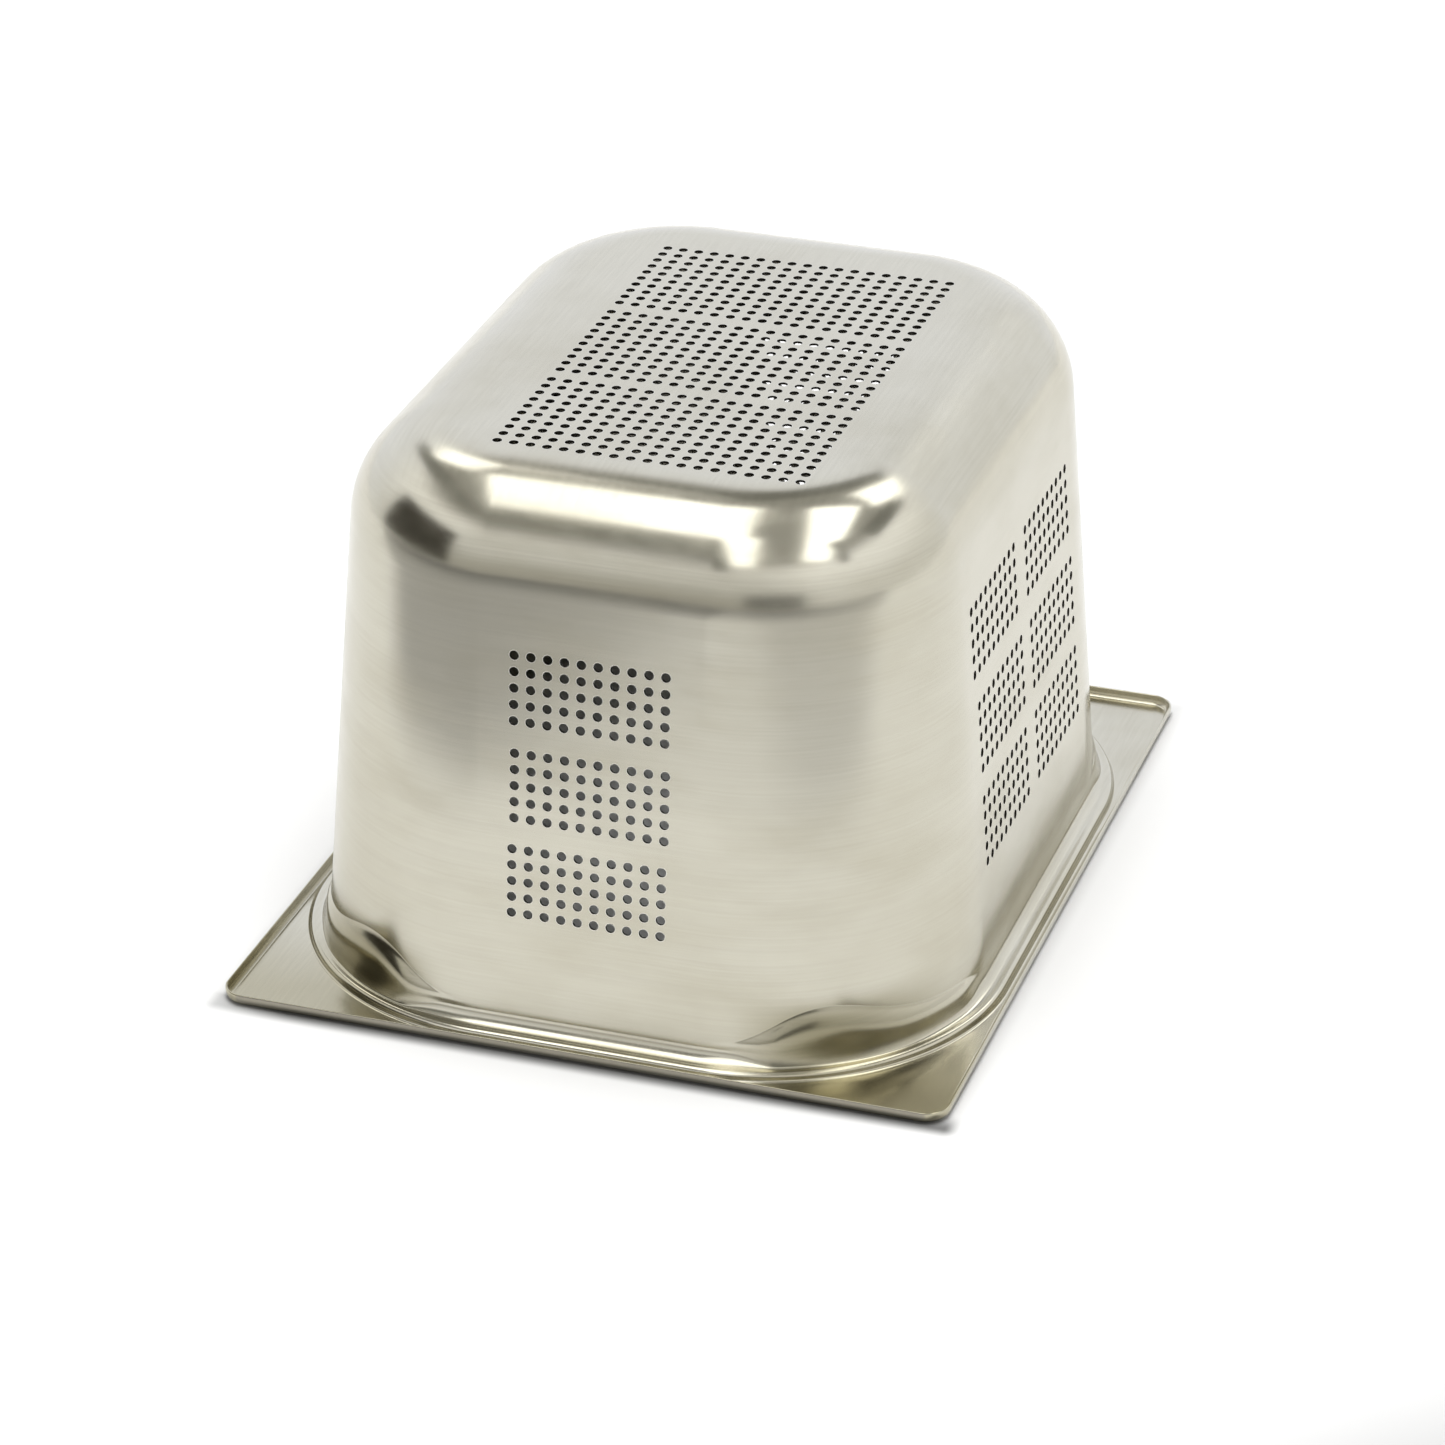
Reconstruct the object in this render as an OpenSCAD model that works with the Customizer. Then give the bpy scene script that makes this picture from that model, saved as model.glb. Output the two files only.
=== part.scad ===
// Perforated draining mold drawn from one sheet, standing upside down on its rim.
// Origin: middle of the rim's resting face. +Z up to the base, X across the short side,
// Y along the long side. The opening faces -Z.

/* [Rim] */
// Overall length of the rim, along Y
rim_length = 325; // [310:1:345]
// Overall width of the rim, along X
rim_width = 265; // [250:1:285]
// Outer corner radius of the rim
rim_corner_r = 9; // [6:0.5:12]
// Height of the turned-up rim edge
lip_height = 4.5; // [4:0.1:7]
// Inside bend radius of the turned-up rim edge
lip_bend_r = 2; // [1.5:0.1:2.2]

/* [Body] */
// Height from the resting face to the outside of the base
body_height = 200; // [180:1:220]
// Distance from the rim's outer edge to the wall, measured in the resting plane
rim_reach = 11; // [10.9:0.1:12]
// Corner radius of the walls, measured in the resting plane
mouth_corner_r = 82; // [76:1:90]
// Draft of every wall from the vertical, in degrees
draft = 4.5; // [3.5:0.1:5.5]
// Outside radius of the edge between the walls and the base
base_edge_r = 38; // [30:1:40]
// Thickness of the sheet
sheet = 0.8; // [0.6:0.1:1.2]

/* [Mouth roll] */
// Radius of the hollow that turns the wall out towards the rim
cove_r = 4.8; // [4.4:0.1:5]
// Height of the crest between the hollow and the rim
crest_height = 4; // [3.6:0.1:4.4]
// Radius of the crest
crest_r = 1.8; // [1.5:0.1:2]
// Angle through which the crest rolls down towards the rim, in degrees
crest_turn = 78; // [76:1:84]

/* [Stacking shoulders] */
// Height of the top of the corner shoulders
shoulder_height = 20; // [16:0.5:26]
// How far the shoulders stand proud of the wall corners
shoulder_step = 0.8; // [0.5:0.1:1.2]
// Angle of each wall corner that is left plain beside its shoulder, in degrees
shoulder_margin = 14; // [10:1:20]
// Radius of the hollow face of the shoulders
shoulder_face_r = 36; // [32:1:44]

/* [Perforation] */
// Diameter of every drain hole
hole_d = 3.1; // [2:0.1:4]
// Distance between neighbouring holes
pitch = 6; // [5:0.1:6.2]
// Holes across the base
base_across = 19; // [11:2:19]
// Holes along each of the base's panels
base_along = 10; // [6:2:10]
// Distance between the base's panels, middle to middle
base_panel_step = 62.9; // [62:0.1:63.5]
// Middle of the base's perforation, across and along
base_centre = [5.4, -5.8]; // [-6:0.1:6]
// Holes across each wall panel
wall_across = 10; // [6:2:10]
// Holes up each wall panel
wall_up = 5; // [3:2:5]
// Heights of the short walls' panels, from the top row down
short_heights = [130.9, 95.1, 59.5]; // [50:0.1:140]
// Heights of the long walls' panels, from the top row down
long_heights = [131.3, 94.2, 58.2]; // [50:0.1:140]
// Middle of each short wall panel, from the top row down
short_middles = [-0.1, 0.4, -0.2]; // [-5:0.1:5]
// Middle of each front panel of the long walls, from the top row down
long_front_middles = [-34.4, -31.3, -32.1]; // [-38:0.1:-30]
// Middle of each rear panel of the long walls, from the top row down
long_rear_middles = [34.8, 36.3, 36.4]; // [30:0.1:38]

/* [Hidden] */

round_fn = 96;
bend_fn = 48;
far = 400;
quarter = 90;
half = 180;

// The corners' common centres, and half the length of each straight run between them
centre_x = rim_width / 2 - rim_reach - mouth_corner_r;
centre_y = rim_length / 2 - rim_reach - mouth_corner_r;
rim_centre_x = rim_width / 2 - rim_corner_r;
rim_centre_y = rim_length / 2 - rim_corner_r;

// Profile points are [distance out from a corner's centre, height]
wall_out = [cos(draft), sin(draft)];
wall_slope = [-sin(draft), cos(draft)];

function wall_at(z) = [mouth_corner_r - z * tan(draft), z];

// Base edge: its arc starts where it is tangent to the wall and ends on the flat base
edge_start_z = body_height - base_edge_r * (1 - sin(draft));
edge_start = wall_at(edge_start_z);
edge_centre = edge_start - base_edge_r * wall_out;
base_corner_r = edge_centre[0];

// Mouth roll: a hollow tangent to the wall, a crest, and a hollow that lands on the web
cove_centre_z = crest_height + cove_r;
cove_start_z = cove_centre_z - cove_r * sin(draft);
cove_start = wall_at(cove_start_z);
cove_centre = cove_start + cove_r * wall_out;
crest_centre = [cove_centre[0], crest_height - crest_r];
foot_drop = crest_height - sheet - crest_r * (1 - cos(crest_turn));
foot_r = foot_drop / (1 - cos(crest_turn));
crest_end = crest_centre + crest_r * [sin(crest_turn), cos(crest_turn)];
foot_centre = crest_end + foot_r * [sin(crest_turn), cos(crest_turn)];
web_start = foot_centre[0];

// Lip: an outward bend from the web up to the edge
lip_face = rim_corner_r - sheet;
lip_start = lip_face - lip_bend_r;
lip_edge_r = 0.4 * sheet;

// Shoulder: a hollow face that starts proud of the wall corner and lands on the crest
shoulder_top = wall_at(shoulder_height) + shoulder_step * wall_out;
shoulder_inside = wall_at(shoulder_height) - sheet * wall_out;
shoulder_centre = shoulder_top + shoulder_face_r * wall_out;
shoulder_end_angle = asin((shoulder_centre[1] - crest_height) / shoulder_face_r);
cheek_angle = 0.8;
cheek_steps = 6;

colour_base = [0.80, 0.79, 0.75];
colour_edge = [0.70, 0.69, 0.66];
colour_wall = [0.76, 0.75, 0.70];
colour_corner = [0.72, 0.71, 0.67];
colour_shoulder = [0.55, 0.53, 0.47];
colour_rim = [0.68, 0.67, 0.61];

// A pie slice that reaches from one angle to the other
module slice(from, to) {
    middle = (from + to) / 2;
    reach = far / cos((to - from) / 2);
    polygon([[0, 0], far * [cos(from), sin(from)], reach * [cos(middle), sin(middle)],
             far * [cos(to), sin(to)]]);
}

// The cross-section of a bend: a band between two radii, from one angle to the other
module bend(centre, inner, outer, from, to) {
    translate(centre) intersection() {
        difference() {
            circle(r = outer, $fn = bend_fn);
            circle(r = inner, $fn = bend_fn);
        }
        slice(from, to);
    }
}

module rounded_plate(half_x, half_y, corner_r) {
    for (x = [-1, 1], y = [-1, 1])
        translate([x * (half_x - corner_r), y * (half_y - corner_r)])
            circle(r = corner_r, $fn = round_fn);
    square([2 * (half_x - corner_r), 2 * half_y], center = true);
    square([2 * half_x, 2 * (half_y - corner_r)], center = true);
}

// Carries a profile round a rounded rectangle whose corners have the given centres
module swept_ring(x, y) {
    for (side = [0, 1]) rotate(side * half) {
        translate([x, y, 0]) rotate_extrude(angle = quarter, $fn = round_fn) children();
        translate([-x, y, 0]) rotate_extrude(angle = quarter, start = quarter, $fn = round_fn)
            children();
        translate([x, y, 0]) rotate([quarter, 0, 0]) linear_extrude(2 * y) children();
        translate([-x, y, 0]) rotate([quarter, 0, quarter]) linear_extrude(2 * x) children();
    }
}

// Round holes in rows, centred on the origin
module hole_grid(across, along) {
    for (i = [0 : across - 1], j = [0 : along - 1])
        translate([(i - (across - 1) / 2) * pitch, (j - (along - 1) / 2) * pitch])
            circle(d = hole_d, $fn = bend_fn);
}

// The wall's cross-section between two heights, with ends square to the sheet
module wall_profile(from_z, to_z) {
    low = wall_at(from_z);
    high = wall_at(to_z);
    polygon([low, high, high - sheet * wall_out, low - sheet * wall_out]);
}

// A flat wall, laid down as a plate: X runs along the wall and Y up its slope from z = 0
module wall_plate(width) {
    translate([-width / 2, cove_start_z / cos(draft)])
        square([width, (edge_start_z - cove_start_z) / cos(draft)]);
}

// Stands a plate up on the draft with its outside face where the wall's outside is
module stand_wall(reach) {
    translate([reach, 0, 0]) rotate([0, -draft, 0]) rotate([quarter, 0, quarter])
        translate([0, 0, -sheet]) linear_extrude(sheet) children();
}

module panel_at(middle, z) {
    translate([middle, z / cos(draft)]) hole_grid(wall_across, wall_up);
}

module short_wall() {
    color(colour_wall) stand_wall(centre_y + mouth_corner_r) difference() {
        wall_plate(2 * centre_x);
        for (row = [0 : len(short_heights) - 1])
            panel_at(short_middles[row], short_heights[row]);
    }
}

module long_wall() {
    color(colour_wall) stand_wall(centre_x + mouth_corner_r) difference() {
        wall_plate(2 * centre_y);
        for (row = [0 : len(long_heights) - 1]) {
            panel_at(long_front_middles[row], long_heights[row]);
            panel_at(long_rear_middles[row], long_heights[row]);
        }
    }
}

module base_panel() {
    color(colour_base) translate([0, 0, body_height - sheet]) linear_extrude(sheet) difference() {
        rounded_plate(centre_x + base_corner_r, centre_y + base_corner_r, base_corner_r);
        for (panel = [-1 : 1])
            translate(base_centre + [0, panel * base_panel_step])
                hole_grid(base_across, base_along);
    }
}

// The base's holes that reach past the flat's rounded corners, onto the base edge
module edge_holes() {
    for (panel = [-1 : 1], i = [0 : base_across - 1], j = [0 : base_along - 1]) {
        x = base_centre[0] + (i - (base_across - 1) / 2) * pitch;
        y = base_centre[1] + panel * base_panel_step + (j - (base_along - 1) / 2) * pitch;
        past = [max(abs(x) - centre_x, 0), max(abs(y) - centre_y, 0)];
        if (norm(past) + hole_d / 2 > base_corner_r)
            translate([x, y]) circle(d = hole_d, $fn = bend_fn);
    }
}

module base_radius() {
    color(colour_edge) difference() {
        swept_ring(centre_x, centre_y)
            bend(edge_centre, base_edge_r - sheet, base_edge_r, draft, quarter);
        translate([0, 0, edge_centre[1]]) linear_extrude(2 * base_edge_r) edge_holes();
    }
}

module front_wall() { rotate(-quarter) short_wall(); }

module rear_wall() { mirror([0, 1, 0]) front_wall(); }

module right_wall() { long_wall(); }

module left_wall() { mirror([1, 0, 0]) right_wall(); }

// One tapered wall corner at +X +Y: full height, with a notch where the shoulder sits
module wall_corner() {
    color(colour_corner) translate([centre_x, centre_y, 0]) {
        rotate_extrude(angle = quarter, $fn = round_fn) wall_profile(shoulder_height, edge_start_z);
        rotate_extrude(angle = shoulder_margin, $fn = round_fn)
            wall_profile(cove_start_z, shoulder_height);
        rotate_extrude(angle = shoulder_margin, start = quarter - shoulder_margin, $fn = round_fn)
            wall_profile(cove_start_z, shoulder_height);
    }
}

// The shoulder's cross-section: a ledge that steps out from the wall, and the hollow face
module shoulder_profile() {
    polygon([shoulder_inside, shoulder_top, shoulder_top - sheet * wall_slope,
             shoulder_inside - sheet * wall_slope]);
    bend(shoulder_centre, shoulder_face_r, shoulder_face_r + sheet, half + draft,
         half + shoulder_end_angle);
}

// Points along a hollow bend, between two angles measured down from its wall side
function hollow_points(centre, r, from, to) =
    [for (i = [0 : cheek_steps])
        let (angle = from + (to - from) * i / cheek_steps) centre - r * [cos(angle), sin(angle)]];

// Closes an end of the shoulder: its outline runs along the middle of the sheet
module cheek_profile() {
    polygon(concat(
        hollow_points(shoulder_centre, shoulder_face_r + sheet / 2, draft, shoulder_end_angle),
        hollow_points(cove_centre, cove_r + sheet / 2, quarter, draft),
        [wall_at(shoulder_height - sheet / 2) - sheet / 2 * wall_out]));
}

// One stacking shoulder at +X +Y
module corner_shoulder() {
    color(colour_shoulder) translate([centre_x, centre_y, 0]) {
        rotate_extrude(angle = quarter - 2 * shoulder_margin, start = shoulder_margin,
                       $fn = round_fn) shoulder_profile();
        for (start = [shoulder_margin, quarter - shoulder_margin - cheek_angle])
            rotate_extrude(angle = cheek_angle, start = start, $fn = round_fn) cheek_profile();
    }
}

module corner_rear_right() { wall_corner(); }

module corner_rear_left() { mirror([1, 0, 0]) wall_corner(); }

module corner_front_right() { mirror([0, 1, 0]) wall_corner(); }

module corner_front_left() { mirror([1, 0, 0]) mirror([0, 1, 0]) wall_corner(); }

module shoulder_rear_right() { corner_shoulder(); }

module shoulder_rear_left() { mirror([1, 0, 0]) corner_shoulder(); }

module shoulder_front_right() { mirror([0, 1, 0]) corner_shoulder(); }

module shoulder_front_left() { mirror([1, 0, 0]) mirror([0, 1, 0]) corner_shoulder(); }

module crest_profile() {
    bend(crest_centre, crest_r - sheet, crest_r, quarter - crest_turn, quarter);
    bend(foot_centre, foot_r, foot_r + sheet, half + quarter - crest_turn, half + quarter);
}

module cove_profile() {
    bend(cove_centre, cove_r, cove_r + sheet, half + draft, half + quarter);
}

// The crest runs all the way round; the hollow stops where the shoulders take its place
module mouth_roll() {
    color(colour_rim) {
        swept_ring(centre_x, centre_y) crest_profile();
        difference() {
            swept_ring(centre_x, centre_y) cove_profile();
            for (x = [0, 1], y = [0, 1]) mirror([x, 0, 0]) mirror([0, y, 0])
                translate([centre_x, centre_y, 0]) linear_extrude(cove_centre_z)
                    slice(shoulder_margin, quarter - shoulder_margin);
        }
    }
}

module rim_web() {
    color(colour_rim) linear_extrude(sheet) difference() {
        rounded_plate(rim_centre_x + lip_start, rim_centre_y + lip_start, lip_start);
        rounded_plate(centre_x + web_start, centre_y + web_start, web_start);
    }
}

module rim_lip() {
    color(colour_rim) swept_ring(rim_centre_x, rim_centre_y) {
        bend([lip_start, sheet + lip_bend_r], lip_bend_r, lip_bend_r + sheet, -quarter, 0);
        translate([lip_face, sheet + lip_bend_r])
            square([sheet, lip_height - sheet - lip_bend_r - lip_edge_r]);
        translate([lip_face + sheet / 2, lip_height - lip_edge_r])
            circle(r = lip_edge_r, $fn = bend_fn);
    }
}

base_panel();
base_radius();
front_wall();
rear_wall();
left_wall();
right_wall();
corner_front_left();
corner_front_right();
corner_rear_left();
corner_rear_right();
shoulder_front_left();
shoulder_front_right();
shoulder_rear_left();
shoulder_rear_right();
mouth_roll();
rim_web();
rim_lip();
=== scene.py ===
"""Looks of the perforated cheese mold: the pressed sheet, its satin steel, the light and the view.

Metres, in the CAD frame: +Z up from the rim to the base, X across, Y along.
"""

import math

import bmesh
import bpy
from mathutils import Matrix, Vector


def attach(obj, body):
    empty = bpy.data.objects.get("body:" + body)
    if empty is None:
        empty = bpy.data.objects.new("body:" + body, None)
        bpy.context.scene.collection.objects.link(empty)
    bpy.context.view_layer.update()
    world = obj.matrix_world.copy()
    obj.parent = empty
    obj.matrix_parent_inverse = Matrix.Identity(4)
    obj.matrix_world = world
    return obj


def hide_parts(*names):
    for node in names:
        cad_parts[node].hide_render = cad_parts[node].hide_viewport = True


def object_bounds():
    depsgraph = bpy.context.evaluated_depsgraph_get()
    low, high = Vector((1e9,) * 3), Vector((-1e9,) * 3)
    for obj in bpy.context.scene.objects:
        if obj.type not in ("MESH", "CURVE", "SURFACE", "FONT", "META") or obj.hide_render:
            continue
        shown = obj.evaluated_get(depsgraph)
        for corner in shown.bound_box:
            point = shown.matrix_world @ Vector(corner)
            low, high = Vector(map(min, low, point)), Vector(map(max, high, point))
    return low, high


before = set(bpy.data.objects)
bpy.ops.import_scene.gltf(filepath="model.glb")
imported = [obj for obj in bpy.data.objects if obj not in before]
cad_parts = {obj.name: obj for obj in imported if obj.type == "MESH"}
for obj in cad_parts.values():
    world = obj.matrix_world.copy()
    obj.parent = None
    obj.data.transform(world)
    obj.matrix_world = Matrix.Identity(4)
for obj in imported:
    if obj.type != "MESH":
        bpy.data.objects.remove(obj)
cad_low, cad_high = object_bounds()

# ---------------------------------------------------------------- sizes of the sheet
MM = 0.001
SHEET = 0.8 * MM  # thickness
DRAFT = math.radians(4.5)  # lean of the walls
CENTRE_X, CENTRE_Y = 39.5 * MM, 69.5 * MM  # the corners' common upright axes
MOUTH_R = 82 * MM  # the wall's distance from those axes, in the resting plane
HEIGHT = 200 * MM
EDGE_R = 38 * MM  # rounding between the base and the walls
COVE_R = 4.8 * MM  # rounding at the foot of the walls
CREST_Z = 4 * MM  # height of the mouth roll
CREST_R = 2.0 * MM
CREST_TURN = math.radians(88)
RIDGE = 0.75 * MM  # flat top of the roll between the cove and the crest
RIM_CENTRE_X, RIM_CENTRE_Y = 123.5 * MM, 153.5 * MM  # upright axes of the rim's corners
LIP_FACE = 8.2 * MM  # the lip's inner face, from those axes
LIP_BEND_R = 2 * MM
LIP_Z = 4.5 * MM  # top of the lip
WEB_Z = SHEET  # top of the rim's flat

PITCH = 6 * MM  # of the punched holes
HOLE_R = 1.66 * MM
BURR_R = 1.95 * MM  # outside of the polished ring round a punched hole
ROLL_R = 1.72 * MM  # where that ring turns down into the hole
BURR_DEPTH, ROLL_DEPTH = 0.02 * MM, 0.12 * MM
HOLE_SIDES = 16

QUARTER = math.pi / 2
OUT = Vector((math.cos(DRAFT), math.sin(DRAFT)))


def wall_at(z):
    """The wall's outside at one height, as (distance from a corner's axis, height)."""
    return Vector((MOUTH_R - z * math.tan(DRAFT), z))


EDGE_START_Z = HEIGHT - EDGE_R * (1 - math.sin(DRAFT))
EDGE_CENTRE = wall_at(EDGE_START_Z) - EDGE_R * OUT
FLAT_R = EDGE_CENTRE.x
COVE_START_Z = CREST_Z + COVE_R * (1 - math.sin(DRAFT))
COVE_END_X = (wall_at(COVE_START_Z) + COVE_R * OUT).x
CREST_CENTRE = Vector((COVE_END_X + RIDGE, CREST_Z - CREST_R))
FOOT_R = (CREST_Z - WEB_Z - CREST_R * (1 - math.cos(CREST_TURN))) / (1 - math.cos(CREST_TURN))
CREST_OUT = Vector((math.sin(CREST_TURN), math.cos(CREST_TURN)))
FOOT_CENTRE = CREST_CENTRE + (CREST_R + FOOT_R) * CREST_OUT


def ease(t):
    """Eases from 0 to 1."""
    t = min(max(t, 0.0), 1.0)
    return t * t * (3 - 2 * t)


def between(points, x):
    """Reads a smooth curve through (x, y) points."""
    if x <= points[0][0]:
        return points[0][1]
    for (x0, y0), (x1, y1) in zip(points, points[1:]):
        if x <= x1:
            return y0 + (y1 - y0) * ease((x - x0) / (x1 - x0))
    return points[-1][1]


BLUR = 1.5  # spacing of the values that straight_between averages


def straight_between(points, x):
    """Reads a line through (x, y) points, averaged over neighbouring values."""
    near = [x + step * BLUR for step in (-2, -1, 0, 1, 2)]
    found = 0.0
    for at in near:
        at = min(max(at, points[0][0]), points[-1][0])
        for (x0, y0), (x1, y1) in zip(points, points[1:]):
            if x0 <= at <= x1:
                value = y0 + (y1 - y0) * (at - x0) / (x1 - x0)
        found += value / len(near)
    return found


def arc(centre, r, start, end, steps):
    """Points on an arc, the first one left out. Angles turn from the outward axis."""
    turns = [start + (end - start) * i / steps for i in range(1, steps + 1)]
    return [centre + r * Vector((math.cos(a), math.sin(a))) for a in turns]


def line(start, end, steps):
    """Points on a straight line, the first one left out."""
    return [start.lerp(end, i / steps) for i in range(1, steps + 1)]


def bulged(start, end, height, steps):
    """Points on a line that swells outward near its start, the first one left out."""
    run = (end - start).normalized()
    away = Vector((-run.y, run.x)) * height
    found = []
    for i in range(1, steps + 1):
        t = math.pi * i / steps
        found.append(start.lerp(end, i / steps) + away * (math.sin(t) + 0.5 * math.sin(2 * t)))
    return found


# ---------------------------------------------------------------- stations round the body
CORNER_STEPS = 44
STRAIGHT_STEPS = 6
EDGE_STEPS = 26
WALL_STEPS = 6
HOLLOW_STEPS = 12
COVE_STEPS = 9
CREST_STEPS = 10
FOOT_STEPS = 6
WEB_STEPS = 8
BEND_STEPS = 6
LIP_STEPS = 6
CORNERS = [(1, 1), (-1, 1), (-1, -1), (1, -1)]


def stations(cx, cy):
    """Stations counter-clockwise round a rounded rectangle, from its +X side's rear end.

    Each is (the upright axis it turns about, its outward angle, the share of its corner that is
    passed or None on a straight, the number of its corner or straight)."""
    found = []
    for turn, (sx, sy) in enumerate(CORNERS):
        for i in range(CORNER_STEPS + 1):
            share = i / CORNER_STEPS
            found.append((Vector((sx * cx, sy * cy)), (turn + share) * QUARTER, share, turn))
        nx, ny = CORNERS[(turn + 1) % 4]
        start, end = Vector((sx * cx, sy * cy)), Vector((nx * cx, ny * cy))
        for i in range(1, STRAIGHT_STEPS):
            where = start.lerp(end, i / STRAIGHT_STEPS)
            found.append((where, (turn + 1) * QUARTER, None, turn))
    return found


def placed(station, point):
    """A profile point (distance, height) at one station, in the frame."""
    where, a = station[0], station[1]
    return Vector((where.x + point.x * math.cos(a), where.y + point.x * math.sin(a), point.y))


# Height of the shoulder's crease, against the angle from the short wall, in degrees
PLAIN_TOP = 10.4 * MM
EAR = [(4, 10.4), (11, 11.6), (18, 16.0), (24, 21.5), (31, 24.2), (38, 23.4), (46, 20.2),
       (54, 17.2), (64, 15.2), (76, 14.4), (87, 10.4)]
FULL_SHOULDER = 8 * MM  # rise of the crease at which the shoulder has its full shape
STEEPEST = math.radians(60)
HALVINGS = 40
# Where the flat base reaches out over the corner for its last holes: share of the corner, reach
PUSH = [(0.16, 0.0), (0.34, 4.2), (0.47, 4.2), (0.66, 0.0)]
PUSHED_CORNER = 3
SHOULDER_COVE_R = 1.0 * MM
CREASE = 0.5 * MM  # width of the shoulder's crease
BULGE = 0.9 * MM  # how far the shoulder swells out below its crease


def crease_height(station):
    """Height of the shoulder's crease above the table at a station."""
    share, turn = station[2], station[3]
    if share is None:
        return PLAIN_TOP
    return straight_between(EAR, 90 * (share if turn % 2 else 1 - share)) * MM


def flat_reach(station):
    """How far past the flat's rounded corner the base plate reaches at a station."""
    share, turn = station[2], station[3]
    if share is None or turn != PUSHED_CORNER:
        return 0.0
    rising = between(PUSH[:2], share)
    falling = PUSH[2][1] - between([(PUSH[2][0], 0.0), (PUSH[3][0], PUSH[2][1])], share)
    return min(rising, falling) * MM


def hollow_tilt(start, r):
    """Tilt of a straight flank that runs from start into a cove of radius r at the crest."""
    low, high = 0.0, STEEPEST
    for _ in range(HALVINGS):
        tilt = (low + high) / 2
        reach = start.x + (start.y - CREST_Z) * math.tan(tilt) + r * math.tan((QUARTER - tilt) / 2)
        if reach < COVE_END_X:
            low = tilt
        else:
            high = tilt
    return (low + high) / 2


def body_profile(station):
    """Outside of the sheet from the flat base down to where the web begins."""
    top = crease_height(station)
    lifted = ease((top - PLAIN_TOP) / FULL_SHOULDER)
    crease = wall_at(top)
    r = COVE_R + (SHOULDER_COVE_R - COVE_R) * lifted
    tilt = hollow_tilt(crease, r)
    fillet = Vector((COVE_END_X, CREST_Z + r))
    flank_end = fillet - r * Vector((math.cos(tilt), math.sin(tilt)))
    begin = QUARTER - math.asin(flat_reach(station) / EDGE_R)
    points = [EDGE_CENTRE + EDGE_R * Vector((math.cos(begin), math.sin(begin)))]
    points += arc(EDGE_CENTRE, EDGE_R, begin, DRAFT, EDGE_STEPS)
    points += line(points[-1], wall_at(top + CREASE), WALL_STEPS)
    points += [crease]
    points += bulged(crease, flank_end, BULGE * lifted, HOLLOW_STEPS)
    points += arc(fillet, r, math.pi + tilt, math.pi + QUARTER, COVE_STEPS)
    points += [CREST_CENTRE + Vector((0, CREST_R))]
    points += arc(CREST_CENTRE, CREST_R, QUARTER, QUARTER - CREST_TURN, CREST_STEPS)
    points += arc(FOOT_CENTRE, FOOT_R, -QUARTER - CREST_TURN, -QUARTER, FOOT_STEPS)
    return points, Vector((math.cos(begin), math.sin(begin)))


def outward(points, first):
    """The outward direction at every point of a profile."""
    found = [first]
    for before, p, after in zip(points, points[1:], points[2:]):
        t = ((p - before).normalized() + (after - p).normalized()).normalized()
        found.append(Vector((-t.y, t.x)))
    return found + [Vector((0, 1))]


def lip_profile():
    """The rim's upturned edge: from the web's top round the edge to the web's underside."""
    bend = Vector((LIP_FACE - LIP_BEND_R, WEB_Z + LIP_BEND_R))
    edge_r = SHEET / 2
    tip = Vector((LIP_FACE + edge_r, LIP_Z - edge_r))
    points = arc(bend, LIP_BEND_R, -QUARTER, 0, BEND_STEPS)
    points += [tip - Vector((edge_r, 0))]
    points += arc(tip, edge_r, math.pi, 0, LIP_STEPS)
    points += [Vector((LIP_FACE + SHEET, bend.y))]
    points += arc(bend, LIP_BEND_R + SHEET, 0, -QUARTER, BEND_STEPS)
    return points


# Soft rises and falls of the flat web near a rim corner: x, y, radius and height, in mm
DENTS = [(113, 141, 10, 0.28), (104, 143, 8, -0.2), (117, 128, 9, -0.16)]


def dented(v):
    """A point of the web, with the web's soft unevenness."""
    rise = 0.0
    for x, y, r, h in DENTS:
        away = math.hypot(abs(v.x) - x * MM, abs(v.y) - y * MM) / (r * MM)
        rise += h * MM * math.exp(-away * away)
    return v + Vector((0, 0, max(rise, -WEB_Z / 3)))


BODY = stations(CENTRE_X, CENTRE_Y)
RIM = stations(RIM_CENTRE_X, RIM_CENTRE_Y)
PROFILES = [body_profile(s) for s in BODY]
PROFILE_STEPS = len(PROFILES[0][0]) - 1


def rows_of_sheet():
    """Rings of points from the base, round the rim's edge and back up the inside.

    With them come the exact outward directions of the rings on the base edge and the walls."""
    outside = [p for p, _ in PROFILES]
    normals = [outward(p, first) for p, first in PROFILES]
    inside = [[q - SHEET * n for q, n in zip(p, ns)] for p, ns in zip(outside, normals)]
    fold = Vector((LIP_FACE - LIP_BEND_R, WEB_Z))
    down = Vector((0, 0, SHEET))
    steps = range(PROFILE_STEPS + 1)
    body = [[placed(s, outside[i][j]) for i, s in enumerate(BODY)] for j in steps]
    back = [[placed(s, inside[i][j]) for i, s in enumerate(BODY)] for j in steps]
    ends = [placed(s, fold) for s in RIM]
    web = [[dented(a.lerp(b, k / WEB_STEPS)) for a, b in zip(body[-1], ends)]
           for k in range(1, WEB_STEPS)]
    lip = [[placed(s, p) for s in RIM] for p in lip_profile()]
    under = [[v - down for v in row] for row in reversed(web)]
    rows = body + web + [ends] + lip + under + back[::-1]
    exact = EDGE_STEPS + WALL_STEPS
    known = {}
    for j in range(exact + 1):
        ring = []
        for i, s in enumerate(BODY):
            n = normals[i][j] if j not in (EDGE_STEPS, exact) else OUT
            ring.append(Vector((n.x * math.cos(s[1]), n.x * math.sin(s[1]), n.y)))
        known[j] = ring
        known[len(rows) - 1 - j] = [-n for n in ring]
    return rows, known


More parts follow.
